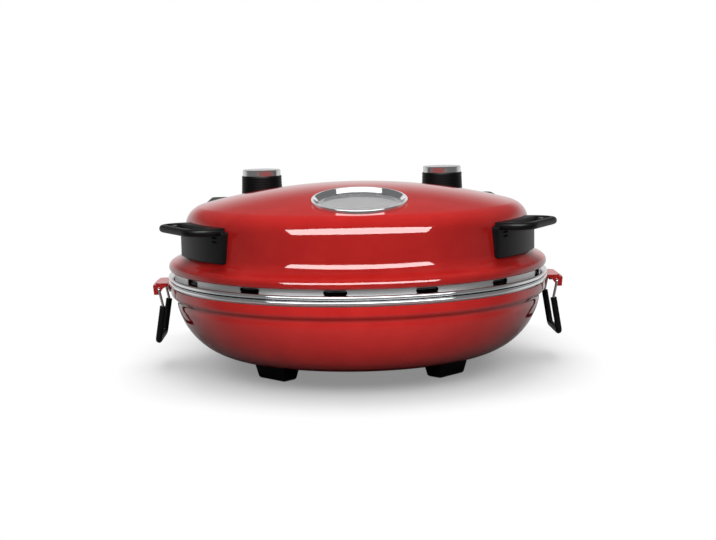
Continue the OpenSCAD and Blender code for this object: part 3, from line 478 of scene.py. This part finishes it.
FINISH = {
    "red_enamel": finish_of("red_enamel", (0.55, 0.014, 0.012), (0.60, 0.019, 0.016), 900,
                            rough=(0.40, 0.52), bump=0.04, depth=0.0001, coat=1.0, coat_rough=0.015,
                            under=0.0, bounce=0.12),
    "bright_chrome": finish_of("bright_chrome", (0.78, 0.79, 0.80), (0.86, 0.87, 0.88), 60, rough=(0.04, 0.05),
                               bump=0.0, depth=0.00005, metallic=1.0),
    "steel_sheet": finish_of("steel_sheet", (0.48, 0.48, 0.48), (0.64, 0.64, 0.64), 900, stretch=(0.15, 0.15, 4),
                             rough=(0.32, 0.48), bump=0.12, depth=0.00008, metallic=1.0),
    "bright_pan": finish_of("bright_pan", (0.55, 0.55, 0.56), (0.66, 0.66, 0.67), 500, rough=(0.25, 0.38),
                            bump=0.05, depth=0.0001, metallic=1.0),
    "black_plastic": finish_of("black_plastic", (0.004, 0.004, 0.0045), (0.007, 0.007, 0.008), 1600,
                               rough=(0.34, 0.46), bump=0.10, depth=0.00008, under=0.12),
    "spun_cap": finish_of("spun_cap", (0.70, 0.70, 0.71), (0.80, 0.80, 0.81), 1500, stretch=(1, 1, 0.05),
                          rough=(0.20, 0.28), bump=0.02, depth=0.00004, metallic=1.0),
    "heater_tube": finish_of("heater_tube", (0.10, 0.085, 0.075), (0.20, 0.17, 0.15), 300, rough=(0.45, 0.65),
                             bump=0.10, depth=0.0001, metallic=0.8),
    "baking_stone": finish_of("baking_stone", (0.50, 0.41, 0.29), (0.64, 0.54, 0.40), 500, rough=(0.75, 0.92),
                              bump=0.35, depth=0.0004),
    "liner": liner_with_painted_shade(),
    "window_glass": window_glass_finish(),
    "gasket_rubber": finish_of("gasket_rubber", (0.16, 0.03, 0.02), (0.22, 0.05, 0.03), 600, rough=(0.6, 0.75),
                               bump=0.05, depth=0.0001),
    "ceramic_block": finish_of("ceramic_block", (0.72, 0.70, 0.65), (0.80, 0.78, 0.74), 400, rough=(0.55, 0.7),
                               bump=0.08, depth=0.0001),
    "lead_sleeve": finish_of("lead_sleeve", (0.66, 0.64, 0.58), (0.76, 0.74, 0.68), 900, rough=(0.6, 0.8),
                             bump=0.2, depth=0.0001),
}


def dress(obj, slot, body=None, *stands_for, finish=None):
    """Puts a finish on a piece, and for a new piece the body that it rides on and the nodes it stands for."""
    obj.data.materials.clear()
    obj.data.materials.append(FINISH[finish or slot])
    if body:
        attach(obj, body)
    if stands_for:
        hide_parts(*stands_for)
    return obj


for part in frame["record"]["subparts"]:
    node = NODES[part["node"]]
    node.data.shade_smooth()
    # The lid's liner gets the finish with painted shade behind the slots.
    dress(node, part["material_slot"], finish="liner" if part["node"] == "lid_liner" else None)


# ---------------------------------------------------------------- lid and bowl

def lid_outline():
    """The lid's outer side from the skirt's edge up to the top of the dome."""
    slope = math.tan(math.asin(DOME_EDGE_R / DOME_R))
    lean = (WALL_FOOT_R - WALL_TOP_R) / (SHOULDER_Z - WALL_FOOT_Z)
    skirt_top = SKIRT_Z + 3.5
    cove_r = WALL_FOOT_R - (COVE_Z - WALL_FOOT_Z) * lean
    return keep_distinct(
        bend((SKIRT_EDGE_R, SKIRT_Z), (SKIRT_R, SKIRT_Z + 0.2), (SKIRT_R, skirt_top - 1), (SKIRT_R, skirt_top), 12)
        + bend((SKIRT_R, skirt_top), (SKIRT_R, skirt_top + 8.5),
               (cove_r + 13 * lean, COVE_Z - 13), (cove_r, COVE_Z), 36)
        + bend((cove_r, COVE_Z), (cove_r - 6 * lean, COVE_Z + 6),
               (WALL_TOP_R + 9 * lean, SHOULDER_Z - 9), (WALL_TOP_R, SHOULDER_Z), 8)
        + bend((WALL_TOP_R, SHOULDER_Z), (WALL_TOP_R - SHOULDER_BEND * lean, SHOULDER_Z + SHOULDER_BEND),
               (DOME_EDGE_R + DOME_BEND, dome(DOME_EDGE_R) - DOME_BEND * slope),
               (DOME_EDGE_R, dome(DOME_EDGE_R)), 28)
        + [(DOME_EDGE_R * (1 - i / 30), dome(DOME_EDGE_R * (1 - i / 30))) for i in range(1, 31)])


lid_run = lid_outline()
lid_in = inset(lid_run, SHEET)
# The sheet is drawn as a side and a top that share an edge, so that each can be lit by itself.
edge = lid_run.index(next(p for p in lid_run if p[0] <= DOME_EDGE_R + 1e-6))
lid_side = turned("lid_side", lid_run[:edge + 1] + lid_in[:edge + 1][::-1])
lid = turned("lid_dome", lid_run[edge:] + lid_in[edge:][::-1], closed=False)
hole = place(drum(WINDOW_HOLE_R, -20, 20), WINDOW_FRAME)
for piece in (lid_side, cut(lid, hole)):
    dress(true_normals(piece, lid_run), "red_enamel", "lid", "lid_shell")


def bowl_outline():
    """The bowl's outer side from the rim down to the middle of its floor."""
    bead_z = RIM_Z - BEAD_GAP / 2 - BEAD_H
    top, band_z = bead_z - 1, bead_z - 1 - BAND_H
    r = RIM_R - 2
    wall_r, wall_z = RIM_R - 7.8, band_z - 12
    return keep_distinct(
        [(r - 0.6, top), (r - 0.1, top - 0.2), (r, top - 0.7)]
        + bend((r, band_z + 0.2), (r, band_z - 1.5), (r - 1.1, band_z - 2.9), (r - 2.6, band_z - 4.0), 8)
        + bend((r - 2.6, band_z - 4.0), (r - 4.5, band_z - 5.4), (wall_r, band_z - 6.4), (wall_r, band_z - 9.4), 10)
        + bend((wall_r, wall_z), (wall_r - 4.7, wall_z - 24), (BOWL_FLOOR_R + 25, BOWL_Z), (BOWL_FLOOR_R, BOWL_Z), 40)
        + [(BOWL_FLOOR_R * (1 - i / 6), BOWL_Z) for i in range(1, 7)])


bowl_run = bowl_outline()
bowl = turned("bowl_shell", bowl_run + inset(bowl_run, -SHEET)[::-1], closed=False)
dress(bowl, "red_enamel", "base", "base_bowl")


# ---------------------------------------------------------------- rim

def bead_outline(z, inner):
    r = RIM_R - BEAD_H / 2
    arc = [(r + BEAD_H / 2 * math.cos(math.radians(a)), z + BEAD_H / 2 + BEAD_H / 2 * math.sin(math.radians(a)))
           for a in range(-90, 91, 9)]
    return [(inner, z)] + arc + [(inner, z + BEAD_H)]


dress(turned("lower_bead", bead_outline(RIM_Z - BEAD_GAP / 2 - BEAD_H, RIM_R - 12), 256), "bright_chrome", "base",
      "base_rim_ring")
upper = bead_outline(RIM_Z + BEAD_GAP / 2, RIM_R - 12)
upper = [(RIM_R - 12, RIM_Z + 0.3)] + upper[1:-1] + [
    (BAND_R + 0.2, RIM_Z + 4.3), (BAND_R + 0.2, BAND_Z), (RIM_R - 12, BAND_Z)]
dress(turned("upper_bead", upper, 256), "bright_chrome", "lid", "lid_rim_ring")


def stadium(half_l, half_h, depth, steps=10):
    r = half_h
    loop = [(half_l - r + r * math.cos(math.radians(a)), r * math.sin(math.radians(a)))
            for a in np.linspace(-90, 90, steps + 1)]
    loop += [(-x, -z) for x, z in loop]
    n = len(loop)
    vertices = [(x, -depth, z) for x, z in loop] + [(x, depth, z) for x, z in loop]
    faces = [[i, (i + 1) % n, n + (i + 1) % n, n + i] for i in range(n)]
    faces += [list(range(n))[::-1], list(range(n, 2 * n))]
    obj = new_object("slot", vertices, faces)
    tidy_faces(obj)
    return obj


band_run = [(BAND_R, BAND_Z), (BAND_R, BAND_TOP)]
band = turned("slotted_band", [(BAND_R - BAND_T, BAND_Z), (BAND_R, BAND_Z), (BAND_R, BAND_TOP),
                               (BAND_R - BAND_T, BAND_TOP)], 280)
slots = []
for i in range(SLOT_COUNT):
    turn = math.radians(SLOT_TURN + i * 360 / SLOT_COUNT)
    slots.append(place(stadium(SLOT_HALF_L, SLOT_HALF_H, 6),
                       Matrix.Rotation(turn, 4, "Z") @ moved(0, -BAND_R, SKIRT_Z - SLOT_DROP)))
true_normals(cut(band, joined("slots", *slots)), band_run)
dress(band, "steel_sheet", "lid", "lid_band")


# ---------------------------------------------------------------- window

seat_z, sleeve_z = GLASS_Z + 0.4, GLASS_Z - GLASS_T - 4.2
bezel_outline = [
    (WINDOW_R, seat_z), (WINDOW_R, GLASS_Z + 0.8), (WINDOW_R + 0.2, GLASS_Z + 1.0)] + bend(
    (WINDOW_R + 2.8, BEZEL_H - 0.5), (WINDOW_R + 3.1, BEZEL_H - 0.1),
    (WINDOW_R + 3.3, BEZEL_H), (WINDOW_R + 3.6, BEZEL_H), 5) + bend(
    (WINDOW_R + 3.6, BEZEL_H), (BEZEL_R - 0.3, BEZEL_H), (BEZEL_R, BEZEL_H - 0.4), (BEZEL_R, BEZEL_H - 1.2), 8) + [
    (BEZEL_R, -1.5), (WINDOW_HOLE_R - 0.3, -1.5), (WINDOW_HOLE_R - 0.3, sleeve_z), (WINDOW_HOLE_R - 1.4, sleeve_z),
    (WINDOW_HOLE_R - 1.4, seat_z)]
bezel = place(turned("window_ring", keep_distinct(bezel_outline), 192), WINDOW_FRAME)
dress(bezel, "bright_chrome", "lid", "window_bezel")


# ---------------------------------------------------------------- handles

def wall_radius(z):
    """Radius of the lid's wall at a height."""
    for (r0, z0), (r1, z1) in zip(lid_run, lid_run[1:]):
        if z0 <= z <= z1 and z >= WALL_FOOT_Z - 12:
            return r0 + (r1 - r0) * (z - z0) / max(z1 - z0, 1e-6)
    return DOME_EDGE_R


def against_wall(obj, gap):
    """Brings points that would lie inside the lid's wall out to it."""
    for v in obj.data.vertices:
        x, y, z = v.co / MM
        r = wall_radius(z) + gap
        if math.hypot(x, y) < r and abs(y) < r:
            v.co.x = math.sqrt(r * r - y * y) * MM
    return obj


def handle(side):
    top = RIM_Z + HANDLE_TOP
    loop = rounded_slab("loop", (150, 194, 42, 20), 6.5, 3.0, top - 6.5, hole=(172.5, 185, 33, 6))
    against_wall(loop, -0.3)
    rings, vertices, faces = [], [], []
    z0, z1, span, edge = RIM_Z + HANDLE_FOOT, top - 3.5, HANDLE_SPAN, 0.9
    half_s = math.radians(span) * HANDLE_FACE_R
    mid = (z0 + z1) / 2
    half_z = (z1 - z0) / 2
    rolled = [(edge * (1 - math.cos(math.radians(a))), -edge + edge * math.sin(math.radians(a)))
              for a in (22, 45, 68, 90)]
    for into, out in [(0, -9), (0, -edge)] + rolled:
        loop_points = rounded_outline(-half_s + into, half_s - into, half_z - into, max(1.4 - into, 0.3), 5, 12)
        rings.append(list(range(len(vertices), len(vertices) + len(loop_points))))
        for s, h in loop_points:
            z = mid + h
            r = HANDLE_FACE_R + out if out > -8 else wall_radius(z) - 0.3
            a = s / HANDLE_FACE_R
            vertices.append((r * math.cos(a), r * math.sin(a), z))
    count = len(rings[0])
    for a, b in zip(rings, rings[1:]):
        faces += [[a[k], a[(k + 1) % count], b[(k + 1) % count], b[k]] for k in range(count)]
    plate = new_object("plate", vertices, faces)
    work = bmesh.new()
    work.from_mesh(plate.data)
    work.verts.ensure_lookup_table()
    # The face is a grid of its own, so that it follows the curve.
    columns, rows = 40, 8
    grid = []
    face_s, face_z = half_s - edge, half_z - edge
    for i in range(columns + 1):
        a = (-face_s + 2 * face_s * i / columns) / HANDLE_FACE_R
        grid.append([work.verts.new((HANDLE_FACE_R * math.cos(a) * MM, HANDLE_FACE_R * math.sin(a) * MM,
                                     (mid - face_z + 2 * face_z * j / rows) * MM)) for j in range(rows + 1)])
    for i in range(columns):
        for j in range(rows):
            work.faces.new([grid[i][j], grid[i + 1][j], grid[i + 1][j + 1], grid[i][j + 1]])
    bmesh.ops.recalc_face_normals(work, faces=work.faces)
    work.to_mesh(plate.data)
    work.free()
    notches = []
    for drop in (9.5, 13.1):
        notch = rounded_slab("notch", (HANDLE_FACE_R - 1.8, HANDLE_FACE_R + 3, 3.5, 0.5), 1.8, 0.3,
                             top - drop, steps=1)
        notches.append(place(notch, Matrix.Rotation(math.radians(-span + 3.6), 4, "Z")))
    cut(plate, joined("notches", *notches))
    piece = joined("handle_" + side + "_grip", loop, plate)
    shade(piece, 40)
    place(piece, Matrix.Rotation(math.radians(HANDLE_TURN - 90), 4, "Z"))
    if side == "left":
        mirror(piece)
    return dress(piece, "black_plastic", "lid", "handle_" + side)


def mirror(obj):
    place(obj, Matrix.Scale(-1, 4, (1, 0, 0)))
    tidy_faces(obj)
    return shade(obj, 40)


for side in ("right", "left"):
    handle(side)


# ---------------------------------------------------------------- latches

def bail(side):
    ear_y = BAIL_HALF_W - WIRE_R - 0.75
    end_y = ear_y - 1.6 - 2
    half = [(LATCH_R, end_y, LATCH_Z), (LATCH_R, BAIL_HALF_W, LATCH_Z),
            (LATCH_R - 3.5, BAIL_HALF_W, LATCH_Z - BAIL_KNEE), (LATCH_R + 1.9, BAIL_HALF_W, LATCH_Z - BAIL_DROP)]
    points = [(x, -y, z) for x, y, z in half] + half[::-1]
    wire_piece = swept("bail_wire_" + side, rounded_route(points, 1.2), WIRE_R, 20)
    legs = rounded_route(points[2:6], 4.5)
    grip = swept("bail_sleeve_" + side, legs, GRIP_R, 28)
    if side == "left":
        mirror(wire_piece), mirror(grip)
    dress(wire_piece, "bright_chrome", side + "_bail", "latch_bail_" + side)
    dress(grip, "black_plastic", side + "_bail", "bail_grip_" + side)


for side in ("right", "left"):
    bail(side)


# ---------------------------------------------------------------- knobs

# Shallow lines round a knob's skirt, for the grip.
GRIP_LINES, GRIP_Z, GRIP_STEP, GRIP_DEPTH = 5, 9.0, 2.9, 0.3
# Inside it, the shaft's hole and the boss round that.
SHAFT_HOLE_R, BOSS_R = 3.1, 5.6


def knob(name, x, body):
    top_r = KNOB_R - 0.8
    ribs = []
    for i in range(GRIP_LINES):
        z = GRIP_Z + i * GRIP_STEP
        r = KNOB_R + (top_r - KNOB_R) * z / KNOB_H
        ribs += [(r, z - 0.55), (r - GRIP_DEPTH, z - 0.25), (r - GRIP_DEPTH, z + 0.25), (r, z + 0.55)]
    skirt = [(top_r - 2, 0), (KNOB_R - 0.5, 0), (KNOB_R, 0.5)] + ribs + [
             (top_r + 0.05, KNOB_H - 0.7), (top_r - 0.2, KNOB_H - 0.15), (top_r - 0.7, KNOB_H),
             (SHAFT_HOLE_R, KNOB_H), (SHAFT_HOLE_R, 4), (BOSS_R, 4), (BOSS_R, KNOB_H - 2.8),
             (top_r - 2, KNOB_H - 2.8)]
    body_piece = place(turned(name + "_skirt", skirt, 160), moved(x, KNOB_Y, KNOB_Z))
    dress(body_piece, "black_plastic", body, name)
    cap_r = top_r - 0.9
    cap = [(0, 0), (cap_r, 0), (cap_r, CAP_H - 1.2)] + bend(
        (cap_r, CAP_H - 1.2), (cap_r, CAP_H - 0.4), (cap_r - 0.4, CAP_H), (cap_r - 1.2, CAP_H), 6) + [
        (cap_r - 2.4, CAP_H), (cap_r - 2.9, CAP_H - 0.35), (0, CAP_H - 0.35)]
    cap_piece = place(turned(name + "_disc", cap, 160, closed=False), moved(x, KNOB_Y, KNOB_Z + KNOB_H))
    dress(cap_piece, "bright_chrome", body, name + "_cap", finish="spun_cap")


knob("thermostat_knob", -KNOB_X, "thermostat_dial")
knob("timer_knob", KNOB_X, "timer_dial")


# ---------------------------------------------------------------- feet

def foot(name, turn):
    w, d, h = FOOT_HALF_W, FOOT_HALF_D, BOWL_Z
    rows = []
    vertices = []
    for z in (0, 1.2, h):
        k = FOOT_FLARE * z / h
        loop = rounded_outline(-d - k, d + k, w + k, 1.6, 4, 2)
        if z == 0:
            loop = rounded_outline(-d + 1.0, d - 1.0, w - 1.0, 1.2, 4, 2)
        rows.append(list(range(len(vertices), len(vertices) + len(loop))))
        vertices += [(x, y, z) for x, y in loop]
    n = len(rows[0])
    faces = [[a[i], a[(i + 1) % n], b[(i + 1) % n], b[i]] for a, b in zip(rows, rows[1:]) for i in range(n)]
    faces += [rows[0][::-1], rows[-1]]
    obj = new_object(name + "_block", vertices, faces)
    tidy_faces(obj)
    place(obj, Matrix.Rotation(math.radians(turn - 90), 4, "Z") @ moved(FOOT_R - d, 0, 0))
    return dress(shade(obj, 30), "black_plastic", "base", name)


for name, turn in (("foot_front_left", -45), ("foot_front_right", 45),
                   ("foot_rear_left", -135), ("foot_rear_right", 135)):
    foot(name, turn)


# ---------------------------------------------------------------- stage

# Where the floor fades out, in metres from the middle of the object.
FADE_FROM, FADE_TO = 0.17, 0.46
# The floor's shade to the camera, to the bounced light and in the gloss, and what lifts its shadow.
FLOOR_SEEN, FLOOR_ROUND, FLOOR_GLOSS, FLOOR_LIFT = 0.68, 0.12, 0.32, 0.25


def floor():
    """A white floor that fades out round the object and looks dimmer in its gloss."""
    obj = new_object("studio_floor", [
        (-4000, -3000, 0), (4000, -3000, 0), (4000, 4000, 0), (-4000, 4000, 0)], [[0, 1, 2, 3]])
    material, tree, shader = blank("studio_floor")
    path = tree.nodes.new("ShaderNodeLightPath")
    shade_of = tree.nodes.new("ShaderNodeMapRange")
    shade_of.inputs["To Min"].default_value, shade_of.inputs["To Max"].default_value = FLOOR_ROUND, FLOOR_SEEN
    wire(tree, path, "Is Camera Ray", shade_of, "Value")
    gloss = tree.nodes.new("ShaderNodeMath")
    gloss.operation = "MULTIPLY_ADD"
    gloss.inputs[1].default_value = FLOOR_GLOSS - FLOOR_ROUND
    wire(tree, path, "Is Glossy Ray", gloss, 0)
    wire(tree, shade_of, "Result", gloss, 2)
    wire(tree, gloss, 0, shader, "Base Color")
    lift = tree.nodes.new("ShaderNodeMath")
    lift.operation = "MULTIPLY"
    lift.inputs[1].default_value = FLOOR_LIFT
    wire(tree, path, "Is Camera Ray", lift, 0)
    shader.inputs["Emission Color"].default_value = (1, 1, 1, 1)
    wire(tree, lift, 0, shader, "Emission Strength")
    shader.inputs["Roughness"].default_value = 0.9
    shader.inputs["Specular IOR Level"].default_value = 0.0
    coords = tree.nodes.new("ShaderNodeTexCoord")
    away = tree.nodes.new("ShaderNodeVectorMath")
    away.operation = "LENGTH"
    wire(tree, coords, "Object", away, 0)
    fade = tree.nodes.new("ShaderNodeMapRange")
    fade.interpolation_type = "SMOOTHSTEP"
    fade.inputs["From Min"].default_value, fade.inputs["From Max"].default_value = FADE_FROM, FADE_TO
    fade.inputs["To Min"].default_value, fade.inputs["To Max"].default_value = 1.0, 0.0
    wire(tree, away, "Value", fade, "Value")
    wire(tree, fade, "Result", shader, "Alpha")
    obj.data.materials.append(material)
    return obj


ground = floor()

# The room: white to the camera, dim in reflections apart from the low back, even for the rest.
ROOM, GLOSS, GLOSS_BACK = 0.08, 0.18, 0.56
world = bpy.data.worlds.new("studio")
scene.world = world
world.use_nodes = True
sky = world.node_tree
sky.nodes.clear()


def ramp_of(axis, low, high):
    step = sky.nodes.new("ShaderNodeMapRange")
    step.interpolation_type = "SMOOTHSTEP"
    step.inputs["From Min"].default_value, step.inputs["From Max"].default_value = low, high
    wire(sky, axes, axis, step, "Value")
    return step


def background(strength):
    node = sky.nodes.new("ShaderNodeBackground")
    node.inputs["Color"].default_value = (1, 1, 1, 1)
    node.inputs["Strength"].default_value = strength
    return node


def chosen(test, no, yes):
    """Picks one of two backgrounds by the kind of ray."""
    node = sky.nodes.new("ShaderNodeMixShader")
    sky.links.new(path.outputs[test], node.inputs[0])
    sky.links.new(no.outputs[0], node.inputs[1])
    sky.links.new(yes.outputs[0], node.inputs[2])
    return node


coords, axes = sky.nodes.new("ShaderNodeTexCoord"), sky.nodes.new("ShaderNodeSeparateXYZ")
path = sky.nodes.new("ShaderNodeLightPath")
wire(sky, coords, "Generated", axes, 0)
behind, low = ramp_of("Y", 0.0, 0.5), ramp_of("Z", 0.36, 0.08)
glow = sky.nodes.new("ShaderNodeMath")
glow.operation = "MULTIPLY"
wire(sky, behind, "Result", glow, 0)
wire(sky, low, "Result", glow, 1)
level = sky.nodes.new("ShaderNodeMath")
level.operation = "MULTIPLY_ADD"
wire(sky, glow, 0, level, 0)
level.inputs[1].default_value, level.inputs[2].default_value = GLOSS_BACK, GLOSS
reflected = background(1.0)
wire(sky, level, 0, reflected, "Strength")
out = sky.nodes.new("ShaderNodeOutputWorld")
rest = chosen("Is Transmission Ray", chosen("Is Glossy Ray", background(ROOM), reflected), background(1.0))
sky.links.new(chosen("Is Camera Ray", rest, background(1.0)).outputs[0], out.inputs[0])


def softbox(name, at, aim, width, height, power, seen_in_gloss=False):
    """A soft light that the camera doesn't see: for the gloss alone, or for all but the gloss."""
    light = bpy.data.lights.new(name, "AREA")
    light.shape, light.size, light.size_y, light.energy = "RECTANGLE", width, height, power
    obj = bpy.data.objects.new(name, light)
    scene.collection.objects.link(obj)
    obj.location = at
    obj.rotation_euler = (Vector(aim) - Vector(at)).to_track_quat("-Z", "Y").to_euler()
    obj.visible_camera = False
    obj.visible_glossy, obj.visible_diffuse = seen_in_gloss, not seen_in_gloss
    return obj


def shine_on(light, pieces):
    """Keeps a light to some of the pieces."""
    group = bpy.data.collections.new(light.name + "_pieces")
    for piece in pieces:
        group.objects.link(piece)
    light.light_linking.receiver_collection = group


def finished_in(*slots):
    return [obj for obj in scene.objects if obj.type == "MESH" and obj.data.materials
            and any(obj.data.materials[0] == FINISH[slot] for slot in slots)]


enamel, metal = finished_in("red_enamel"), finished_in("bright_chrome", "steel_sheet")
rings = [bezel, NODES["window_glass"]] + finished_in("spun_cap")
things = [obj for obj in scene.objects if obj.type == "MESH" and obj != ground]
plastic = finished_in("black_plastic")
side_enamel = [obj for obj in enamel if obj != lid]
plain_metal = [obj for obj in metal if obj == bezel or obj not in rings]
all_but_bowl = [obj for obj in things if obj != bowl]
WINDOW_AT, WINDOW_AIM = (0, -1.42, 0.90), (0, 0, 0.13)

# Gloss: the long window that draws the bright strips, dimmer on metal, and cards for ring, glass and caps.
shine_on(softbox("front_window", WINDOW_AT, WINDOW_AIM, 3.0, 0.90, 130, seen_in_gloss=True), side_enamel)
shine_on(softbox("ring_card", (0, -0.75, 1.5), (0, -0.1, 0.16), 2.4, 0.9, 9, seen_in_gloss=True), [bezel])
shine_on(softbox("chrome_window", WINDOW_AT, WINDOW_AIM, 4.0, 0.90, 36, seen_in_gloss=True), plain_metal)
shine_on(softbox("back_card", (0, 1.5, 1.2), (0, -0.1, 0.16), 2.4, 1.4, 7, seen_in_gloss=True), rings)
shine_on(softbox("room_window", (0, -1.3, 1.5), WINDOW_AIM, 2.0, 0.8, 150, seen_in_gloss=True), plastic)
# Everything but the gloss: from above, on the floor alone, and from the front.
shine_on(softbox("ceiling", (0, 0.5, 1.9), (0, 0, 0), 2.0, 1.4, 40), things)
shine_on(softbox("floor_sky", (0, 0, 2.2), (0, 0, 0), 7.0, 7.0, 210), [ground])
shine_on(softbox("floor_key", (0, 0.6, 1.9), (0, 0, 0), 1.6, 1.2, 11), [ground])
shine_on(softbox("front_fill", (0, -1.9, 0.7), (0, 0, 0.1), 1.2, 0.8, 4), things)
shine_on(softbox("lid_front", (0, -0.65, 0.28), (0, 0, 0.12), 0.2, 0.15, 1.5), all_but_bowl)
shine_on(softbox("bowl_front", (0, -0.78, 0.36), (0, 0, 0.06), 0.2, 0.15, 3.9), [bowl])


# ---------------------------------------------------------------- camera

# The photograph's view: where it stands, what it looks at, its roll and its lens.
EYE, AIM = (-0.03065, -1.24962, 0.2516), (0.00023, 0, 0.08858)
ROLL_DEG, LENS_MM, SENSOR_MM = -1.096, 65.25, 36


def camera():
    eye, aim = Vector(EYE), Vector(AIM)
    ahead = (aim - eye).normalized()
    right = ahead.cross(Vector((0, 0, 1))).normalized()
    up = right.cross(ahead)
    roll = math.radians(ROLL_DEG)
    right, up = right * math.cos(roll) + up * math.sin(roll), up * math.cos(roll) - right * math.sin(roll)
    data = bpy.data.cameras.new("camera")
    data.lens, data.sensor_width, data.sensor_fit = LENS_MM, SENSOR_MM, "HORIZONTAL"
    obj = bpy.data.objects.new("camera", data)
    scene.collection.objects.link(obj)
    turn = Matrix((right, up, -ahead)).transposed().to_4x4()
    obj.matrix_world = Matrix.Translation(eye) @ turn
    scene.camera = obj


camera()
scene.view_settings.view_transform = "Standard"
